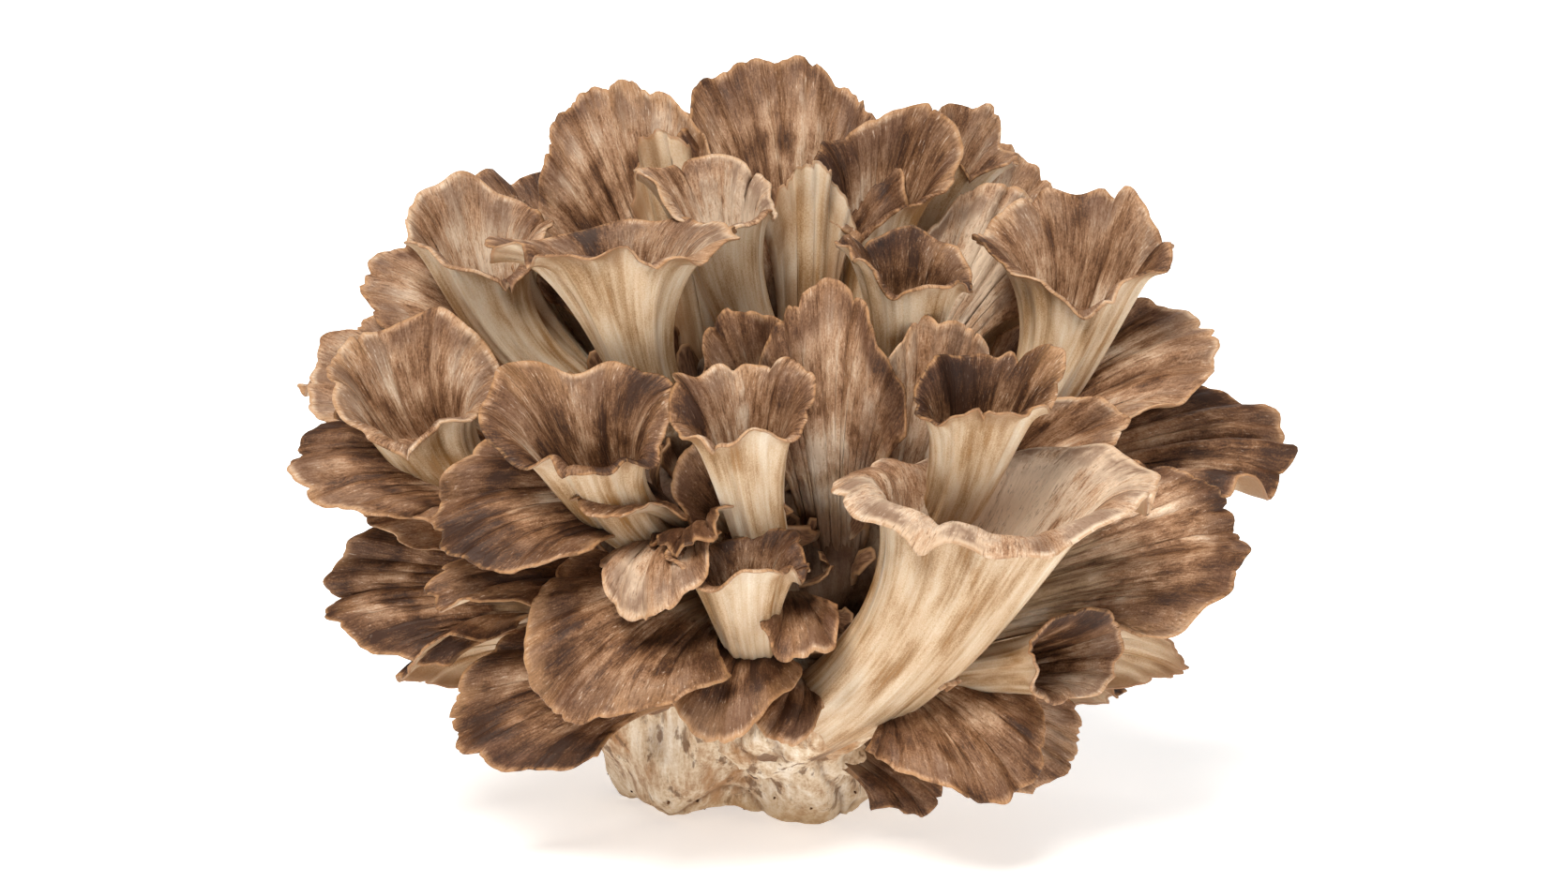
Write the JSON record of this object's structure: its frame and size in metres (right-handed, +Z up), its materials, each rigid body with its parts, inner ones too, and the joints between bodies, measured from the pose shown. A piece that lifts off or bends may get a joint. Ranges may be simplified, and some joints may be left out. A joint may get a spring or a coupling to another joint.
{
  "type": "maitake mushroom",
  "caption": "Whole maitake cluster: brown, wavy, fan and funnel shaped fronds crowded on a pale, branching stem with a cut foot.",
  "frame": {"origin": "middle of the foot's flat cut face, on which the mushroom stands", "axes": "+Z up, out of the foot into the cluster; +X to the right as seen from the front, along the cluster's longest side; -Y is the front"},
  "size_m": [0.2668, 0.2033, 0.2014],
  "materials": {
    "mushroom": "dry matt mushroom flesh: brown cap skins with darker rims, cream undersides, stalks and foot"
  },
  "bodies": {
    "root": {"maitake": "mushroom"}
  },
  "joints": []
}
